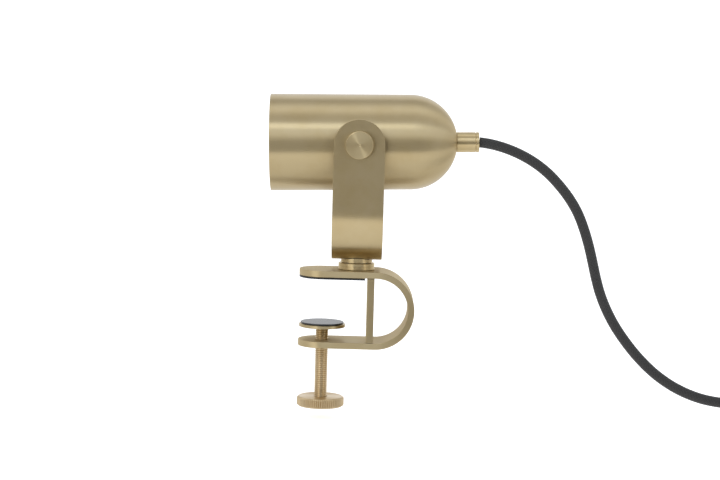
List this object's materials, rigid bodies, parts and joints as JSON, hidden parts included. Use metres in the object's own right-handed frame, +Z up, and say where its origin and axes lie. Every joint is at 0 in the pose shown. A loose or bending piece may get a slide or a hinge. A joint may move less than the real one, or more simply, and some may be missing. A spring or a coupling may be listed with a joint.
{
  "type": "clip-on reading lamp",
  "caption": "Brushed brass spotlight in a swivelling U-bracket on a screw clamp, with a black braided cord, inline switch and plug.",
  "frame": {"origin": "middle of the upper jaw pad's underside, on the clamp screw's axis: the point that rests on the table or shelf", "axes": "+Z up, away from the board that the lamp is clamped to; -X where the shade's mouth points; Y along the tilt axis"},
  "size_m": [0.4646, 0.0976, 0.1965],
  "materials": {
    "brushed_brass": "fine brushed, satin lacquer",
    "turned_brass": "lathe turned, satin",
    "plug_metal": "nickel plated",
    "screw_bronze": "turned and knurled",
    "steel": "zinc plated",
    "rubber": "matt sheet",
    "tie_rubber": "matt band",
    "nylon": "natural",
    "ceramic": "glazed ceramic",
    "bulb_mirror": "vacuum coated glass",
    "bulb_glass": "clear pressed glass",
    "braid": "braided textile sleeve",
    "black_plastic": "fine satin texture",
    "brown_wire": "PVC",
    "blue_wire": "PVC"
  },
  "bodies": {
    "clamp": {"clamp_strap": "brushed_brass", "back_plate": "brushed_brass", "upper_jaw_pad": "rubber", "swivel_collar": "turned_brass", "swivel_washer": "nylon", "swivel_bolt": "steel", "swivel_nut": "steel"},
    "yoke": {"u_bracket": "brushed_brass", "swivel_boss": "turned_brass", "saddle_washer": "steel", "cord_lead": "braid", "cord_middle": "braid", "cord_tail": "braid", "cord_coil": "braid", "coil_tie": "tie_rubber", "plug_body": "black_plastic", "plug_pin_left": "plug_metal", "plug_pin_right": "plug_metal", "switch_lower": "black_plastic", "switch_upper": "black_plastic", "switch_contact": "turned_brass", "switch_screw_front": "steel", "switch_screw_back": "steel", "rocker_pin": "steel"},
    "head": {"shade": "brushed_brass", "pivot_screw_front": "turned_brass", "pivot_screw_back": "turned_brass", "pivot_washer_front": "nylon", "pivot_washer_back": "nylon", "pivot_nut_front": "steel", "pivot_nut_back": "steel", "cord_gland": "turned_brass", "grip_screw": "steel", "gland_nut": "steel", "holder_bridge": "steel", "lampholder": "ceramic", "holder_contact_left": "turned_brass", "holder_contact_right": "turned_brass", "holder_screw_lower": "steel", "holder_screw_upper": "steel", "bulb_reflector": "bulb_mirror", "bulb_lens": "bulb_glass", "bulb_base": "ceramic", "terminal_block": "nylon", "live_lead": "brown_wire", "neutral_lead": "blue_wire", "live_core": "brown_wire", "neutral_core": "blue_wire"},
    "pressure_plate": {"pressure_disc": "brushed_brass", "pressure_pad": "rubber", "disc_rivet": "brushed_brass"},
    "screw": {"clamp_spindle": "screw_bronze", "clamp_knob": "screw_bronze"},
    "rocker": {"switch_rocker": "black_plastic"}
  },
  "joints": [
    {"name": "swivel", "type": "hinge", "parent": "clamp", "child": "yoke", "pos_m": [0.0205, 0, 0.0097], "axis": [0, 0, 1], "continuous": true},
    {"name": "head_tilt", "type": "hinge", "parent": "yoke", "child": "head", "pos_m": [0.0205, 0, 0.0847], "axis": [0, -1, 0], "range_deg": [-60, 60], "deforming": ["cord_lead"]},
    {"name": "clamp_travel", "type": "slide", "parent": "clamp", "child": "pressure_plate", "axis": [0, 0, 1], "range_m": [-0.0075, 0.028]},
    {"name": "screw_turn", "type": "hinge", "parent": "pressure_plate", "child": "screw", "pos_m": [0, 0, -0.0785], "axis": [0, 0, 1], "range_deg": [-2161, 8065]},
    {"name": "rocker_press", "type": "hinge", "parent": "yoke", "child": "rocker", "pos_m": [0.29134, -0.01634, -0.0665], "axis": [-0.2079, -0.9781, 0], "range_deg": [0, 16]}
  ],
  "couplings": [
    {"joint": "screw_turn", "follows": "clamp_travel", "rad_per_m": 5026.5}
  ]
}
